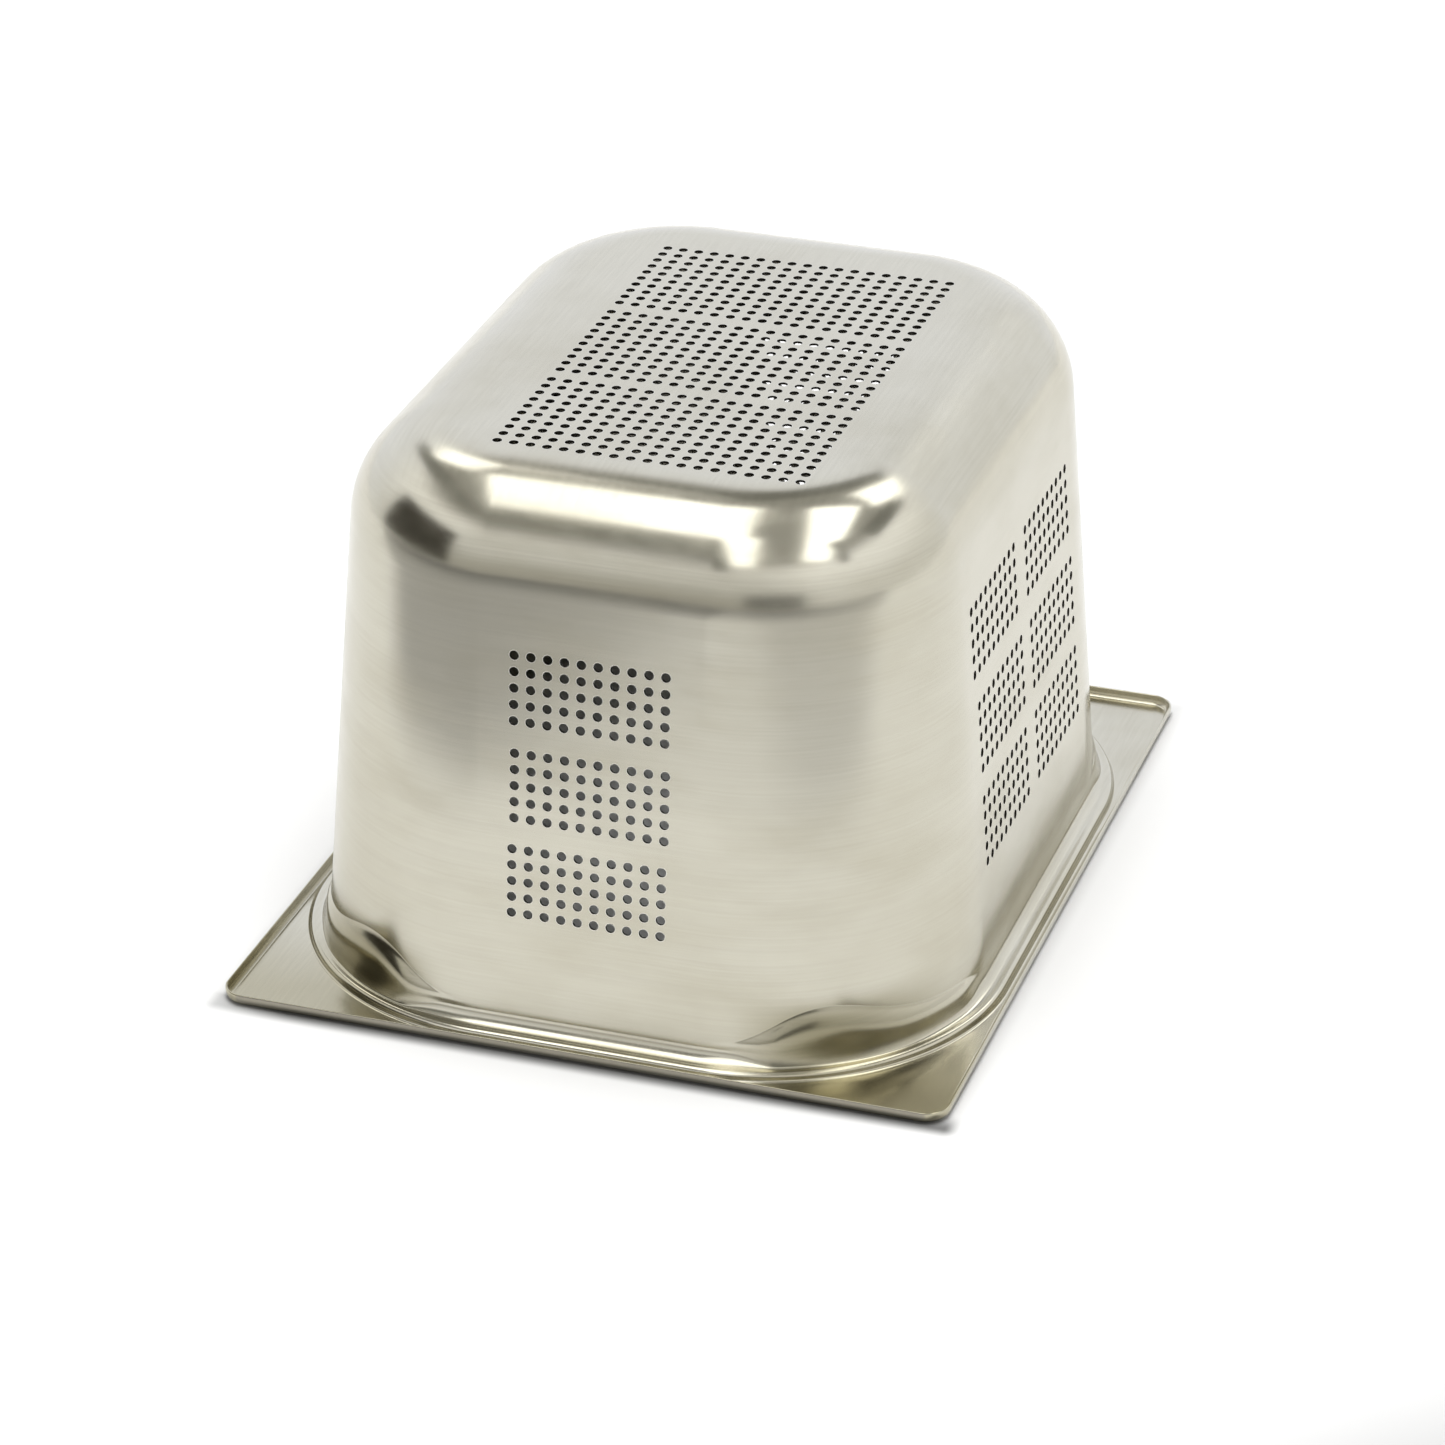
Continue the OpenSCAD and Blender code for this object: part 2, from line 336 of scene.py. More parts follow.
def region_at(row, on_corner, total):
    """The region of the sheet that a row of faces belongs to, counted from the base."""
    lip_start = PROFILE_STEPS + WEB_STEPS
    if row > total / 2:
        row = total - row
    if row <= EDGE_STEPS:
        return "base_radius"
    if row <= EDGE_STEPS + WALL_STEPS + 1:
        return "corner" if on_corner else "flat"
    if row <= EDGE_STEPS + WALL_STEPS + 1 + HOLLOW_STEPS + COVE_STEPS:
        return "shoulder" if on_corner else "mouth_roll"
    if row <= PROFILE_STEPS:
        return "mouth_roll"
    return "rim_web" if row <= lip_start else "rim_lip"


LAST_ROW = 2 * (PROFILE_STEPS + WEB_STEPS) + len(lip_profile())
REGIONS = ["flat", "base_radius", "corner", "shoulder", "mouth_roll", "rim_web", "rim_lip"]


def drawn_sheet():
    """All the curved sheet in one mesh, made by extruding a ring of edges from row to row."""
    rows, known = rows_of_sheet()
    count = len(BODY)
    bm = bmesh.new()
    tag = bm.verts.layers.int.new("station")
    level = bm.verts.layers.int.new("level")
    region = bm.faces.layers.int.new("region")
    ring = [bm.verts.new(v) for v in rows[0]]
    for i, v in enumerate(ring):
        v[tag] = i
    edges = [bm.edges.new((ring[i], ring[(i + 1) % count])) for i in range(count)]
    for row in range(1, len(rows)):
        made = bmesh.ops.extrude_edge_only(bm, edges=edges)["geom"]
        verts = {v for v in made if isinstance(v, bmesh.types.BMVert)}
        for v in verts:
            v.co = rows[row][v[tag]]
            v[level] = row
        edges = [e for e in made if isinstance(e, bmesh.types.BMEdge)
                 and e.verts[0] in verts and e.verts[1] in verts]
        for f in made:
            if isinstance(f, bmesh.types.BMFace):
                tags = sorted({v[tag] for v in f.verts})
                first, last = (tags[1], tags[0]) if tags == [0, count - 1] else tags
                on_corner = BODY[first][2] is not None and BODY[last][2] is not None
                f[region] = REGIONS.index(region_at(row, on_corner, len(rows)))
    bmesh.ops.recalc_face_normals(bm, faces=bm.faces)
    if bm.faces[0].normal.z < 0:
        bmesh.ops.reverse_faces(bm, faces=bm.faces)
    bm.normal_update()
    normal = bm.verts.layers.float_vector.new("normal")
    for v in bm.verts:
        v[normal] = known[v[level]][v[tag]] if v[level] in known else v.normal
    return bm


def add_object(name, bm):
    """Turns a bmesh into a smooth-shaded object of the scene."""
    mesh = bpy.data.meshes.new(name)
    bm.to_mesh(mesh)
    bm.free()
    obj = bpy.data.objects.new(name, mesh)
    bpy.context.scene.collection.objects.link(obj)
    mesh.shade_smooth()
    return obj


def close_edges(bm):
    """Joins the outer and inner edges of a piece of the sheet across its thickness.

    Returns the new faces."""
    tag = bm.verts.layers.int["station"]
    level = bm.verts.layers.int["level"]
    edges = [e for e in bm.edges if e.is_boundary]
    for e in edges:
        e.smooth = False
    inner = {(v[tag], v[level]): v for e in edges for v in e.verts if v[level] > LAST_ROW / 2}
    outer = [e for e in edges if e.verts[0][level] < LAST_ROW / 2]
    made = bmesh.ops.extrude_edge_only(bm, edges=outer)["geom"]
    joined = {v: inner[(v[tag], LAST_ROW - v[level])] for v in made
              if isinstance(v, bmesh.types.BMVert)}
    bmesh.ops.weld_verts(bm, targetmap=joined)
    bmesh.ops.recalc_face_normals(bm, faces=bm.faces)
    return {f for f in bm.faces
            if max(v[level] for v in f.verts) - min(v[level] for v in f.verts) > 2}


def piece_of_sheet(whole, name, keep):
    """Copies the faces that keep() accepts into their own piece, with the whole sheet's shading."""
    bm = whole.copy()
    region = bm.faces.layers.int["region"]
    other = [f for f in bm.faces if not keep(REGIONS[f[region]], f.calc_center_median())]
    bmesh.ops.delete(bm, geom=other, context="FACES")
    across = close_edges(bm)
    bm.normal_update()
    normal = bm.verts.layers.float_vector["normal"]
    normals = []
    for f in bm.faces:
        for loop in f.loops:
            normals.append(f.normal.copy() if f in across else Vector(loop.vert[normal]))
    obj = add_object(name, bm)
    obj.data.normals_split_custom_set(normals)
    return obj


# ---------------------------------------------------------------- perforated plates
def base_surface(x, y):
    """The base's outside at a plan position, and the direction it faces."""
    past = Vector((max(abs(x) - CENTRE_X, 0), max(abs(y) - CENTRE_Y, 0)))
    over = max(past.length - FLAT_R, 0)
    if over < 1e-7:
        return Vector((x, y, HEIGHT)), Vector((0, 0, 1))
    tilt = math.asin(over / EDGE_R)
    lean = past.normalized() * math.sin(tilt)
    return (Vector((x, y, HEIGHT - EDGE_R * (1 - math.cos(tilt)))),
            Vector((math.copysign(lean.x, x), math.copysign(lean.y, y), math.cos(tilt))))


def wall_surface(reach, side):
    """The outside of the wall that faces along side, a unit (x, y), as a function of a plate's
    own (distance along the wall, distance up its slope)."""
    along = Vector((abs(side[1]), abs(side[0]), 0))
    face = Vector((side[0] * OUT.x, side[1] * OUT.x, OUT.y))
    slope = Vector((-side[0] * OUT.y, -side[1] * OUT.y, OUT.x))
    foot = Vector((side[0] * reach, side[1] * reach, 0))
    return lambda u, v: (foot + along * u + slope * v, face)


# material slots of a plate
SHEET_SLOT, BURR_SLOT, HOLE_SLOT = 0, 1, 2
SHARP = math.radians(50)  # edges that turn more than this are shaded sharp
ALIGNED = 0.8  # a face this well in line with the plate is shaded flat


def ring_out(bm, edges, change, slot=SHEET_SLOT):
    """Extrudes loops of edges and moves the new corners. Returns the new loops' edges."""
    made = bmesh.ops.extrude_edge_only(bm, edges=edges)["geom"]
    for f in made:
        if isinstance(f, bmesh.types.BMFace):
            f.material_index = slot
    verts = {v for v in made if isinstance(v, bmesh.types.BMVert)}
    for v in verts:
        v.co = change(v)
    return [e for e in made if isinstance(e, bmesh.types.BMEdge)
            and e.verts[0] in verts and e.verts[1] in verts]


def perforated_plate(name, outline, centres, surface):
    """A plate with rolled-over punched holes, laid on a surface of (u, v)."""
    bm = bmesh.new()
    hole = bm.verts.layers.int.new("hole")
    corners = [bm.verts.new((u, v, 0)) for u, v in outline]
    rim = [bm.edges.new((corners[i], corners[(i + 1) % len(corners)])) for i in range(len(corners))]
    for i, (u, v) in enumerate(centres):
        made = bmesh.ops.create_circle(bm, cap_ends=False, radius=BURR_R, segments=HOLE_SIDES,
                                       matrix=Matrix.Translation((u, v, 0)))["verts"]
        for w in made:
            w[hole] = i + 1
    loops = [e for e in bm.edges if e.verts[0][hole]]
    bmesh.ops.triangle_fill(bm, use_beauty=True, use_dissolve=False, edges=rim + loops,
                            normal=(0, 0, 1))

    def drawn_in(r, w):
        def change(v):
            u0, v0 = centres[v[hole] - 1]
            away = Vector((v.co.x - u0, v.co.y - v0)).normalized() * r
            return Vector((u0 + away.x, v0 + away.y, -w))
        return change

    loops = ring_out(bm, loops, drawn_in(ROLL_R, BURR_DEPTH), BURR_SLOT)
    loops = ring_out(bm, loops, drawn_in(HOLE_R, ROLL_DEPTH), HOLE_SLOT)
    loops = ring_out(bm, loops, drawn_in(HOLE_R, SHEET), HOLE_SLOT)
    below = ring_out(bm, rim, lambda v: Vector((v.co.x, v.co.y, -SHEET)))
    bmesh.ops.triangle_fill(bm, use_beauty=True, use_dissolve=False, edges=below + loops,
                            normal=(0, 0, -1))
    top = {v for v in bm.verts if v.co.z == 0}
    bottom = {v for v in bm.verts if v.co.z < -0.99 * SHEET}
    facing = {}
    for v in bm.verts:
        place, n = surface(v.co.x, v.co.y)
        facing[v] = n
        v.co = place + n * v.co.z
    bmesh.ops.recalc_face_normals(bm, faces=bm.faces)
    bm.normal_update()
    for e in bm.edges:
        if len(e.link_faces) == 2 and e.calc_face_angle(0) > SHARP:
            e.smooth = False
    normals = []
    for f in bm.faces:
        for loop in f.loops:
            v = loop.vert
            straight = f.normal.dot(facing[v])
            if v in top and straight > ALIGNED:
                normals.append(facing[v])
            elif v in bottom and straight < -ALIGNED:
                normals.append(-facing[v])
            else:
                normals.append(Vector((0, 0, 0)))
    obj = add_object(name, bm)
    obj.data.normals_split_custom_set(normals)
    return obj


def grid(across, along, middle_u, middle_v):
    """Middles of holes in rows."""
    return [(middle_u + (i - (across - 1) / 2) * PITCH, middle_v + (j - (along - 1) / 2) * PITCH)
            for i in range(across) for j in range(along)]


BASE_ACROSS, BASE_ALONG, BASE_STEP = 19, 10, 62.9 * MM
BASE_MIDDLE = (5.4 * MM, -5.8 * MM)
WALL_ACROSS, WALL_UP = 10, 5
# middles of the wall panels: distance along the wall and height, in mm
SHORT_ROWS = [(-0.1, 130.9), (0.4, 95.1), (-0.2, 59.5)]
LONG_ROWS = [(-34.4, 131.3), (34.8, 131.3), (-31.3, 94.2), (36.3, 94.2), (-32.1, 58.2),
             (36.4, 58.2)]


def wall_plate(name, side, reach, half_width, panels):
    """A perforated wall. Panels are (distance along, height) of their middles, in mm."""
    low, high = PLAIN_TOP / OUT.x, EDGE_START_Z / OUT.x
    outline = [(-half_width, low), (half_width, low), (half_width, high), (-half_width, high)]
    centres = []
    for middle, z in panels:
        centres += grid(WALL_ACROSS, WALL_UP, middle * MM, z * MM / OUT.x)
    return perforated_plate(name, outline, centres, wall_surface(reach, side))


sheet = drawn_sheet()
pieces = {}


def add_piece(name, keep, node):
    """Cuts a piece from the sheet, in place of a CAD node."""
    obj = piece_of_sheet(sheet, name, keep)
    pieces[name] = (obj, node)


for word in ("base_radius", "mouth_roll", "rim_web", "rim_lip"):
    add_piece("sheet_" + word, lambda r, c, word=word: r == word, word)
for part in ("corner", "shoulder"):
    for sx, sy in CORNERS:
        where = ("rear" if sy > 0 else "front") + "_" + ("right" if sx > 0 else "left")
        add_piece(f"sheet_{part}_{where}",
                  lambda r, c, part=part, sx=sx, sy=sy: r == part and c.x * sx > 0 and c.y * sy > 0,
                  f"{part}_{where}")
sheet.free()

outline = []
for station, (points, _) in zip(BODY, PROFILES):
    v = placed(station, points[0])
    outline.append((v.x, v.y))
centres = []
for panel in (-1, 0, 1):
    centres += grid(BASE_ACROSS, BASE_ALONG, BASE_MIDDLE[0], BASE_MIDDLE[1] + panel * BASE_STEP)
base = perforated_plate("plate_base", outline, centres, base_surface)
pieces["plate_base"] = (base, "base_panel")

for word, side in (("front", (0, -1)), ("rear", (0, 1))):
    obj = wall_plate("plate_" + word, side, CENTRE_Y + MOUTH_R, CENTRE_X, SHORT_ROWS)
    pieces["plate_" + word] = (obj, word + "_wall")
for word, side in (("left", (-1, 0)), ("right", (1, 0))):
    obj = wall_plate("plate_" + word, side, CENTRE_X + MOUTH_R, CENTRE_Y, LONG_ROWS)
    pieces["plate_" + word] = (obj, word + "_wall")

# ---------------------------------------------------------------- satin steel
STEEL = (0.595, 0.572, 0.485, 1)
STEEL_DARK = (0.535, 0.508, 0.415, 1)  # in smudges
STEEL_RIM_SHADE = (0.45, 0.42, 0.31, 1)  # painted shade for the dark reflections at the front corners of the rim
STEEL_HOLLOW_SHADE = (0.27, 0.245, 0.16, 1)  # painted shade in the front shoulders' hollows
STEEL_LIP_SHADE = (0.30, 0.28, 0.23, 1)  # painted shade on the front face of the rim's lip, for the shaded table it reflects
BURR = (0.72, 0.705, 0.64, 1)
CUT_SHADE = (0.04, 0.036, 0.03, 1)  # painted shade: the holes' rolled edges and cut faces, near-black for the shade inside the holes
# how closely brushing, smudges and patches follow each other along X, Y and Z
BRUSH_ROUND, BRUSH_ALONG = (18, 18, 1400), (900, 40, 60)
SMUDGE, PATCH = (1, 1, 2.2), (1, 1, 3.5)
SMUDGE_SCALE, PATCH_SCALE, GRAIN_SCALE, WAVE_SCALE = 14.0, 34.0, 2600.0, 9.0
GRAIN_SHARE = 0.6  # of the grain in the fine relief
WAVE_STRENGTH, WAVE_DEPTH = 0.07, 0.0012  # the sheet's slight unevenness
FINE_STRENGTH, FINE_DEPTH = 0.10, 0.00002
ROUGHNESS, PATCH_ROUGHNESS = (0.145, 0.205), (0.0, 0.04)
STREAK = (0.965, 1.03)  # darkest and lightest brushing line
FLAT = (0.55, 0.95)  # how level a face is where the brushing changes its direction
# painted shade at the rim's front corners, front lip and front shoulders: where each one starts and
# where it is full, or the other way round
LOW = (0.012, 0.024)  # height below which the rim's front corners carry painted shade
ASIDE = (0.050, 0.085)  # distance to the side
AHEAD = (-0.150, -0.090)  # distance to the front
HOLLOW_FOOT, HOLLOW_TOP = (0.005, 0.008), (0.019, 0.030)  # heights of the painted shade in a front shoulder
# where along Y the painted shade on the rim's front lip face begins and is full
FRONT_EDGE_SHADE = (-0.1620, -0.1624)


class Graph:
    """Small helper that adds nodes to a material or world and links them."""

    def __init__(self, tree):
        self.tree = tree

    def add(self, kind, values=(), **props):
        node = self.tree.nodes.new(kind)
        for key, value in props.items():
            setattr(node, key, value)
        for key, value in dict(values).items():
            if isinstance(value, bpy.types.NodeSocket):
                self.tree.links.new(value, node.inputs[key])
            else:
                node.inputs[key].default_value = value
        return node

    def math(self, operation, a, b=0.0):
        return self.add("ShaderNodeMath", {0: a, 1: b}, operation=operation).outputs[0]

    def remap(self, value, from_low, from_high, to_low=0.0, to_high=1.0, kind="SMOOTHSTEP"):
        return self.add("ShaderNodeMapRange", {"Value": value, 1: from_low, 2: from_high,
                                               3: to_low, 4: to_high},
                        interpolation_type=kind).outputs[0]

    def mix(self, factor, a, b):
        node = self.add("ShaderNodeMix", {"Factor": factor}, data_type="RGBA")
        for socket, value in ((node.inputs[6], a), (node.inputs[7], b)):
            if isinstance(value, bpy.types.NodeSocket):
                self.tree.links.new(value, socket)
            else:
                socket.default_value = value
        return node.outputs[2]

    def noise(self, where, scale, stretch=(1, 1, 1), detail=2.0, rough=0.5):
        place = self.add("ShaderNodeVectorMath", {0: where, 1: stretch}, operation="MULTIPLY")
        return self.add("ShaderNodeTexNoise", {"Vector": place.outputs[0], "Scale": scale,
                                               "Detail": detail, "Roughness": rough}).outputs[0]


def steel_material():
    """Brushed steel with smudges and a fine grain, and painted shade at the front: on the rim's
    corners and lip face and in the shoulders' hollows.
    """
    m = bpy.data.materials.new("satin_steel")
    m.use_nodes = True
    g = Graph(m.node_tree)
    shader = m.node_tree.nodes["Principled BSDF"]
    link = m.node_tree.links.new
    where = g.add("ShaderNodeTexCoord").outputs["Object"]
    normal = g.add("ShaderNodeNewGeometry").outputs["True Normal"]
    facing = g.add("ShaderNodeSeparateXYZ", {0: normal})
    flatness = g.remap(g.math("ABSOLUTE", facing.outputs[2]), *FLAT)

    # brushing runs round the walls and along the base
    round_lines = g.noise(where, 1.0, BRUSH_ROUND, 3.0, 0.6)
    base_lines = g.noise(where, 1.0, BRUSH_ALONG, 3.0, 0.6)
    lines = g.add("ShaderNodeMix", {"Factor": flatness, 2: round_lines, 3: base_lines}).outputs[0]
    smudges = g.noise(where, SMUDGE_SCALE, SMUDGE, 4.0, 0.55)
    patches = g.noise(where, PATCH_SCALE, PATCH, 3.0, 0.6)
    grain = g.noise(where, GRAIN_SCALE, (1, 1, 1), 1.0, 0.5)

    tint = g.mix(g.remap(smudges, 0.35, 0.75), STEEL, STEEL_DARK)
    streak = g.remap(lines, 0.3, 0.7, *STREAK, "LINEAR")
    spot = g.add("ShaderNodeSeparateXYZ", {0: where}).outputs
    # painted shade: low on the rim's front corners the steel is darkened to stand in for the dark
    # reflections caught there
    low = g.remap(spot[2], *LOW, 1.0, 0.0)
    aside = g.remap(g.math("ABSOLUTE", spot[0]), *ASIDE)
    ahead = g.remap(spot[1], *AHEAD, 1.0, 0.0)
    rim_shade = g.math("MULTIPLY", low, g.math("MULTIPLY", aside, ahead))
    # the smudged tint, with the painted shade mixed in from here on
    painted_shade_tint = g.mix(rim_shade, tint, STEEL_RIM_SHADE)
    # painted shade: the front shoulders' hollows, between these heights, are darkened to stand in
    # for the dark reflections they catch
    shoulder = g.math("MULTIPLY", g.remap(spot[2], *HOLLOW_FOOT),
                      g.remap(spot[2], *HOLLOW_TOP, 1.0, 0.0))
    hollow_shade = g.math("MULTIPLY", shoulder, g.math("MULTIPLY", aside, ahead))
    painted_shade_tint = g.mix(hollow_shade, painted_shade_tint, STEEL_HOLLOW_SHADE)
    # painted shade: the rim's front lip face is darkened to stand in for the shaded table it
    # reflects
    painted_shade_tint = g.mix(g.remap(spot[1], *FRONT_EDGE_SHADE), painted_shade_tint, STEEL_LIP_SHADE)
    scaled = g.add("ShaderNodeVectorMath", {0: painted_shade_tint, "Scale": streak}, operation="SCALE")
    link(scaled.outputs[0], shader.inputs["Base Color"])
    shader.inputs["Metallic"].default_value = 1.0
    rough = g.math("ADD", g.remap(smudges, 0.3, 0.7, *ROUGHNESS),
                   g.remap(patches, 0.4, 0.7, *PATCH_ROUGHNESS))
    link(rough, shader.inputs["Roughness"])

    wave = g.noise(where, WAVE_SCALE, (1, 1, 1), 1.0, 0.4)
    coarse = g.add("ShaderNodeBump", {"Height": wave, "Strength": WAVE_STRENGTH,
                                      "Distance": WAVE_DEPTH})
    relief = g.math("ADD", lines, g.math("MULTIPLY", grain, GRAIN_SHARE))
    fine = g.add("ShaderNodeBump", {"Height": relief, "Strength": FINE_STRENGTH,
                                    "Distance": FINE_DEPTH, "Normal": coarse.outputs[0]})
    link(fine.outputs[0], shader.inputs["Normal"])
    return m


def plain_metal(name, colour, rough):
    """A metal with one colour and roughness."""
    m = bpy.data.materials.new(name)
    m.use_nodes = True
    shader = m.node_tree.nodes["Principled BSDF"]
    shader.inputs["Base Color"].default_value = colour
    shader.inputs["Metallic"].default_value = 1.0
    shader.inputs["Roughness"].default_value = rough
    return m


steel = steel_material()
burr = plain_metal("satin_steel_burr", BURR, 0.30)
# painted shade: the holes' inner faces are nearly black to stand in for the dark inside of the mold
# seen through them
cut_shade = plain_metal("satin_steel_cut_shade", CUT_SHADE, 0.5)
for name, (obj, node) in pieces.items():
    obj.data.materials.append(steel)
    if name.startswith("plate_"):
        obj.data.materials.append(burr)
        obj.data.materials.append(cut_shade)
    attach(obj, "root")
    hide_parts(node)

# ---------------------------------------------------------------- studio room
# towards the room's rear and front
REARWARD, FORWARD = (-0.34, 0.94, 0), (-0.10, -0.995, 0)
WALL_REAR = (1.05, 1.075, 1.15, 1)
WALL_SIDE = (0.95, 0.95, 0.94, 1)
HIGH_SIDE = (1.25, 1.25, 1.26, 1)
WALL_FRONT = (0.84, 0.84, 0.83, 1)
LOW_FRONT = (0.52, 0.51, 0.47, 1)
CEILING = (0.40, 0.395, 0.37, 1)
# where these blend: shares of the way to the rear or front, and heights of the direction
REAR_BLEND, FRONT_BLEND = (0.3, 0.9), (0.50, 0.93)
FRONT_RISE, SIDE_RISE, CEILING_RISE = (0.05, 0.40), (0.15, 0.60), (0.60, 0.76)


def studio_world():
    """A soft room: lighter behind and at the sides, darker low in front and overhead."""
    world = bpy.data.worlds.new("studio")
    bpy.context.scene.world = world
    world.use_nodes = True
    g = Graph(world.node_tree)
    direction = g.add("ShaderNodeTexCoord").outputs["Generated"]
    behind = g.add("ShaderNodeVectorMath", {0: direction, 1: REARWARD}, operation="DOT_PRODUCT")
    rearward = g.remap(behind.outputs["Value"], *REAR_BLEND)
    ahead = g.add("ShaderNodeVectorMath", {0: direction, 1: FORWARD}, operation="DOT_PRODUCT")
    frontward = g.remap(ahead.outputs["Value"], *FRONT_BLEND)
    height = g.add("ShaderNodeSeparateXYZ", {0: direction}).outputs[2]
    front = g.mix(g.remap(height, *FRONT_RISE), LOW_FRONT, WALL_FRONT)
    side = g.mix(g.remap(height, *SIDE_RISE), WALL_SIDE, HIGH_SIDE)
    walls = g.mix(rearward, g.mix(frontward, side, front), WALL_REAR)
    room = g.mix(g.remap(height, *CEILING_RISE), walls, CEILING)
    link = world.node_tree.links.new
    link(room, world.node_tree.nodes["Background"].inputs["Color"])


studio_world()


def glow(name, colour, strength):
    """A material that gives an even light."""
    m = bpy.data.materials.new(name)
    m.use_nodes = True
    g = Graph(m.node_tree)
    out = m.node_tree.nodes["Material Output"]
    light = g.add("ShaderNodeEmission", {"Color": colour, "Strength": strength})
    m.node_tree.links.new(light.outputs[0], out.inputs[0])
    return m


def only_reflected(obj, material):
    """Makes an object a panel of the room that shows in reflections and nowhere else."""
    obj.data.materials.append(material)
    obj.visible_camera = False
    obj.visible_diffuse = False
    obj.visible_shadow = False


CEILING_H = 4.0  # of the lights, above the base
WALL_DISTANCE = 5.0  # of the upright panels, from the mold


def overhead(name, start, end, width, material, level):
    """A long panel overhead, between two points given as shares of the ceiling's height."""
    bm = bmesh.new()
    bmesh.ops.create_grid(bm, x_segments=1, y_segments=1, size=0.5)
    a, b = Vector(start) * CEILING_H, Vector(end) * CEILING_H
    along = b - a
    bmesh.ops.scale(bm, vec=(width * CEILING_H, along.length, 1), verts=bm.verts)
    turn = Matrix.Rotation(math.atan2(-along.x, along.y), 3, "Z")
    bmesh.ops.rotate(bm, verts=bm.verts, matrix=turn)
    bmesh.ops.translate(bm, verts=bm.verts,
                        vec=((a.x + b.x) / 2, (a.y + b.y) / 2, HEIGHT + CEILING_H - level))
    obj = add_object(name, bm)
    only_reflected(obj, material)


strip = glow("strip_light", (1.0, 1.0, 0.98, 1), 2.8)
dark = glow("dark_panel", (0.22, 0.22, 0.20, 1), 1.0)
door = glow("doorway", (0.045, 0.040, 0.030, 1), 1.0)
dim = glow("dim_corner", (0.22, 0.22, 0.21, 1), 1.0)

# name, start, end, width, material and how much lower it hangs
OVERHEADS = [
    ("strip_left_rear", (-0.92, 0.80), (-0.48, 0.45), 0.30, strip, 0.0),
    ("strip_left_middle", (-0.28, 0.29), (-0.20, -0.42), 0.34, strip, 0.0),
    ("strip_left_front", (-0.09, -0.36), (0.03, -1.12), 0.30, strip, 0.01),
    ("strip_right_rear", (0.36, 0.70), (0.54, 1.38), 0.40, strip, 0.0),
    ("strip_right_front", (0.26, 0.46), (0.84, -0.66), 0.36, strip, 0.0),
    ("dark_left", (-1.30, 1.12), (-0.56, -0.62), 0.24, dark, 0.0),
    ("dark_front", (-0.34, -0.60), (-0.30, -1.45), 0.28, dark, 0.0),
    ("dark_rear", (-0.34, 0.56), (0.22, 1.36), 0.32, dark, -0.01),
    ("dark_right", (0.98, 0.20), (0.74, 1.12), 0.34, dark, -0.01),
    ("dark_right_front", (0.68, -0.16), (1.34, -0.50), 0.16, dark, 0.02),
]
for overhead_panel in OVERHEADS:
    overhead(*overhead_panel)


def wall_card(name, azimuth, low, high, half_angle, material):
    """An upright panel seen from the mold between two elevations, centred on an azimuth."""
    a = math.radians(azimuth)
    bottom = HEIGHT + WALL_DISTANCE * math.tan(math.radians(low))
    top = HEIGHT + WALL_DISTANCE * math.tan(math.radians(high))
    width = 2 * WALL_DISTANCE * math.tan(math.radians(half_angle))
    bm = bmesh.new()
    bmesh.ops.create_grid(bm, x_segments=1, y_segments=1, size=0.5)
    bmesh.ops.scale(bm, vec=(width, top - bottom, 1), verts=bm.verts)
    bmesh.ops.rotate(bm, verts=bm.verts, matrix=Matrix.Rotation(QUARTER, 3, "X"))
    bmesh.ops.translate(bm, verts=bm.verts, vec=(0, WALL_DISTANCE, (top + bottom) / 2))
    bmesh.ops.rotate(bm, verts=bm.verts, matrix=Matrix.Rotation(-a, 3, "Z"))
    obj = add_object(name, bm)
    only_reflected(obj, material)


# azimuth, lowest and highest elevation and half width, in degrees
wall_card("doorway", -116, 0, 29, 25, door)
wall_card("dim_corner", 158, 0, 14, 16, dim)

# ---------------------------------------------------------------- table, light and view
TABLE_HALF = 6.0
TABLE_DARK, TABLE_WHITE = (0.02, 0.02, 0.018, 1), (0.64, 0.64, 0.64, 1)
# the table is darker farther out in front: how white it stays, and where it changes, in metres
LEFT_TONE, MIDDLE_TONE, RIGHT_TONE, FAR_TONE = 0.45, 0.87, 0.80, 0.7
LEFT_X, RIGHT_X = (-0.165, -0.09), (0.12, 0.32)
OUTER, FRONT_Y, FAR_Y = (0.37, 0.47), (-0.30, -0.15), (-1.2, -0.6)
# the shade where the rim meets the table: how white the table stays there
CONTACT_WIDTH = 0.0065
CONTACT_FRONT, CONTACT_SIDE, CONTACT_LEFT = 0.2, 0.85, 0.7
CONTACT_TURN, CONTACT_LEFT_X = 0.01, (-0.145, -0.10)
# far off, the table keeps its brightness, where the soft light no longer reaches
GLOW, GLOW_OUTER, GLOW_Y = 0.5, (0.5, 2.2), (-0.7, 0.0)
LIGHT_PLACE, LIGHT_AIM = Vector((0.0, -0.1, 2.4)), Vector((0.0, 0.0, 0.0))
LIGHT_SIZE, LIGHT_POWER = 1.6, 70.0
CAMERA_PLACE = (0.53248, -1.61013, 0.93608)
CAMERA_AZIMUTH, CAMERA_ELEVATION = math.radians(18.287), math.radians(27.524)
FOCAL_LENGTH, SENSOR = 130.34, 36  # in mm


def past(g, value, edge):
    """How far a coordinate lies beyond the mold, on either side."""
    return g.math("MAXIMUM", g.math("SUBTRACT", g.math("ABSOLUTE", value), edge), 0.0)


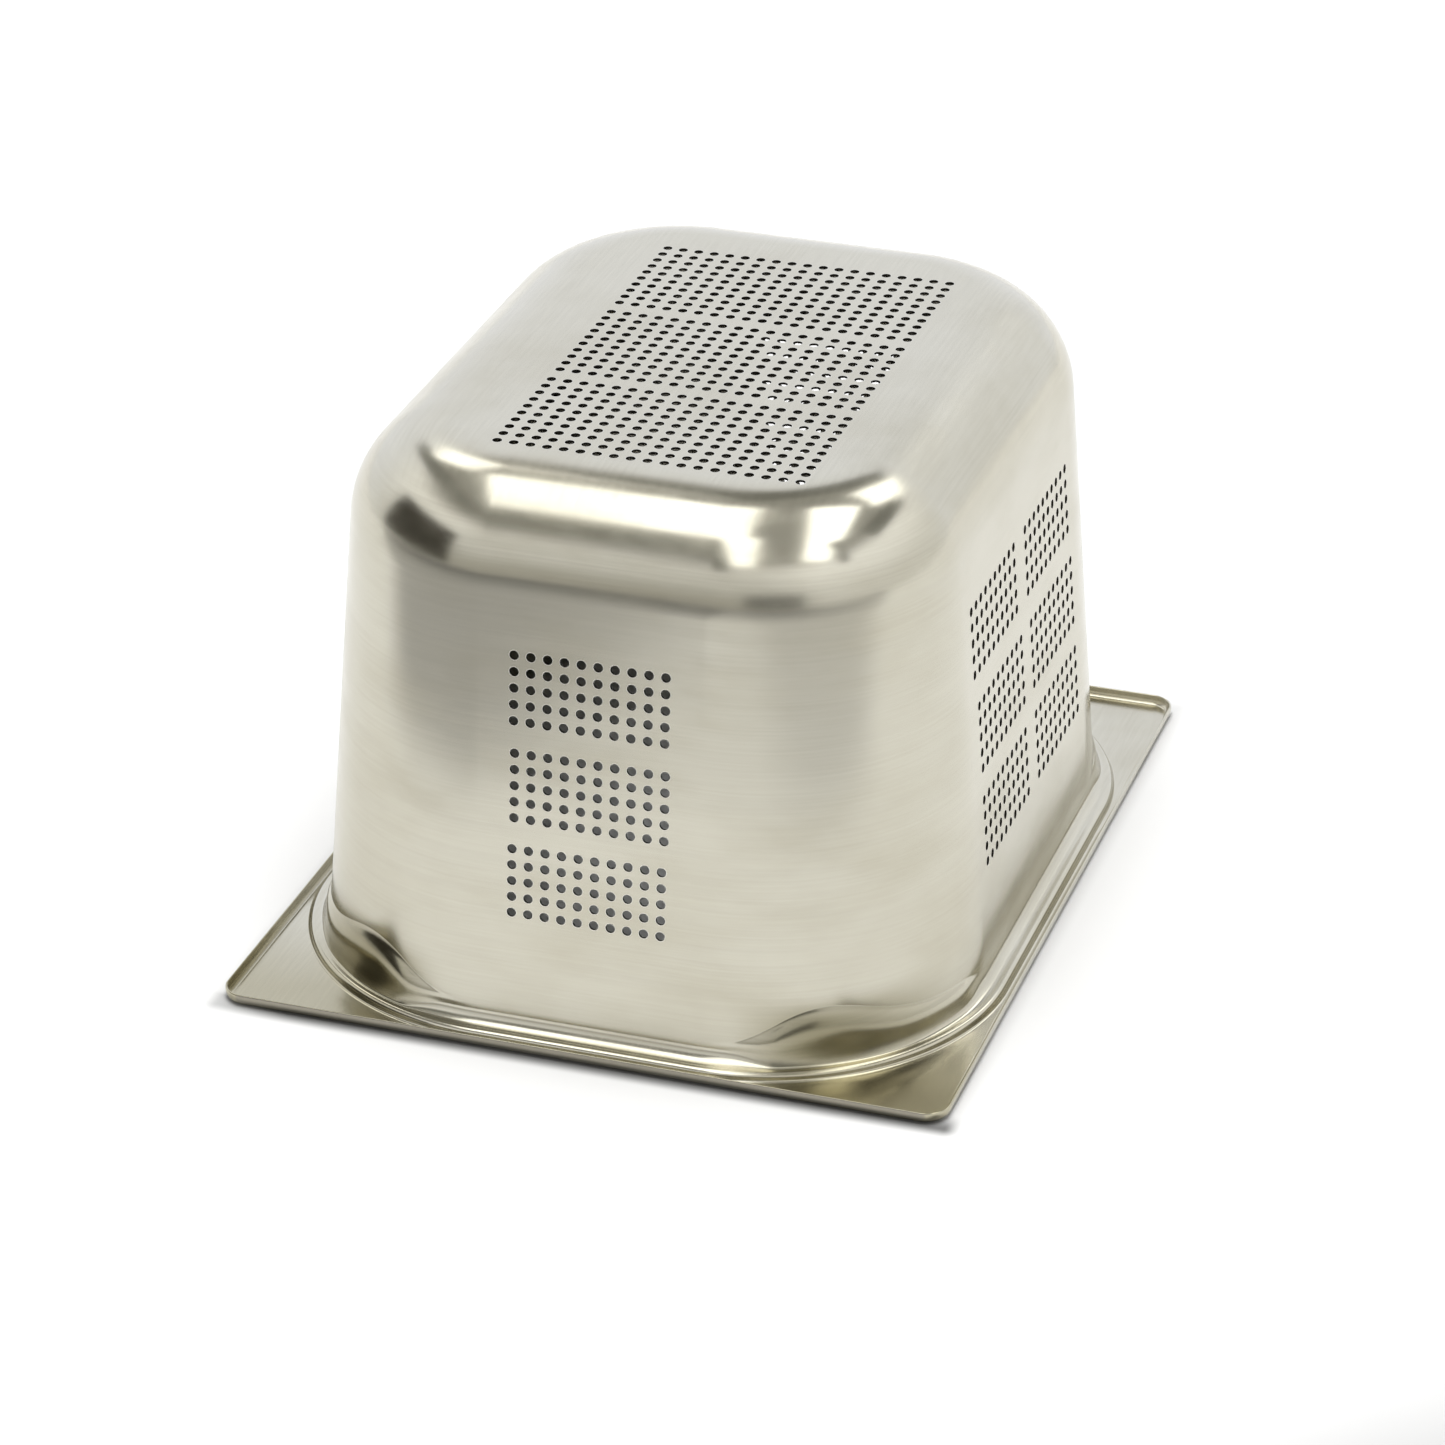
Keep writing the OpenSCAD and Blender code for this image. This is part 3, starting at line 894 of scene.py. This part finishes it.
def table_material():
    """White paper, with the darker parts of the table and the shade under the rim."""
    m = bpy.data.materials.new("white_table")
    m.use_nodes = True
    g = Graph(m.node_tree)
    link = m.node_tree.links.new
    where = g.add("ShaderNodeTexCoord").outputs["Object"]
    x, y, _ = g.add("ShaderNodeSeparateXYZ", {0: where}).outputs
    away = g.add("ShaderNodeVectorMath", {0: where}, operation="LENGTH").outputs["Value"]
    tone = g.math("MULTIPLY", g.remap(x, *LEFT_X, LEFT_TONE, MIDDLE_TONE),
                  g.remap(x, *RIGHT_X, 1.0, RIGHT_TONE))
    in_front = g.math("MULTIPLY", g.remap(away, *OUTER), g.remap(y, *FRONT_Y, 1.0, 0.0))
    white = g.math("ADD", 1.0, g.math("MULTIPLY", in_front, g.math("SUBTRACT", tone, 1.0)))
    white = g.math("MULTIPLY", white, g.remap(y, *FAR_Y, FAR_TONE, 1.0))

    past_x, past_y = past(g, x, cad_high.x), past(g, y, cad_high.y)
    gap = g.math("SQRT", g.math("ADD", g.math("POWER", past_x, 2.0), g.math("POWER", past_y, 2.0)))
    front = -cad_high.y
    least = g.math("MAXIMUM",
                   g.remap(y, front, front + CONTACT_TURN, CONTACT_FRONT, CONTACT_SIDE),
                   g.remap(x, *CONTACT_LEFT_X, CONTACT_LEFT, CONTACT_FRONT))
    white = g.math("MULTIPLY", white, g.remap(gap, 0.0, CONTACT_WIDTH, least, 1.0))

    shader = m.node_tree.nodes["Principled BSDF"]
    link(g.mix(white, TABLE_DARK, TABLE_WHITE), shader.inputs["Base Color"])
    shader.inputs["Roughness"].default_value = 0.95
    shader.inputs["Specular IOR Level"].default_value = 0.1
    link(g.math("MULTIPLY", g.remap(away, *GLOW_OUTER, 0.0, GLOW, "LINEAR"), g.remap(y, *GLOW_Y)),
         shader.inputs["Emission Strength"])
    shader.inputs["Emission Color"].default_value = (1.0, 1.0, 1.0, 1)
    return m


bm = bmesh.new()
bmesh.ops.create_grid(bm, x_segments=1, y_segments=1, size=TABLE_HALF)
floor = add_object("floor", bm)
floor.data.materials.append(table_material())

light_data = bpy.data.lights.new("soft_light", "AREA")
light_data.shape = "DISK"
light_data.size = LIGHT_SIZE
light_data.energy = LIGHT_POWER
light = bpy.data.objects.new("soft_light", light_data)
light.location = LIGHT_PLACE
light.visible_glossy = False
light.rotation_mode = "QUATERNION"
light.rotation_quaternion = (LIGHT_AIM - LIGHT_PLACE).to_track_quat("-Z", "Y")
bpy.context.scene.collection.objects.link(light)

camera_data = bpy.data.cameras.new("camera")
camera = bpy.data.objects.new("camera", camera_data)
bpy.context.scene.collection.objects.link(camera)
camera_data.sensor_width = SENSOR
camera_data.lens = FOCAL_LENGTH
camera.location = CAMERA_PLACE
look = Vector((-math.sin(CAMERA_AZIMUTH) * math.cos(CAMERA_ELEVATION),
               math.cos(CAMERA_AZIMUTH) * math.cos(CAMERA_ELEVATION),
               -math.sin(CAMERA_ELEVATION)))
camera.rotation_mode = "QUATERNION"
camera.rotation_quaternion = look.to_track_quat("-Z", "Y")
bpy.context.scene.camera = camera
bpy.context.scene.view_settings.view_transform = "Standard"
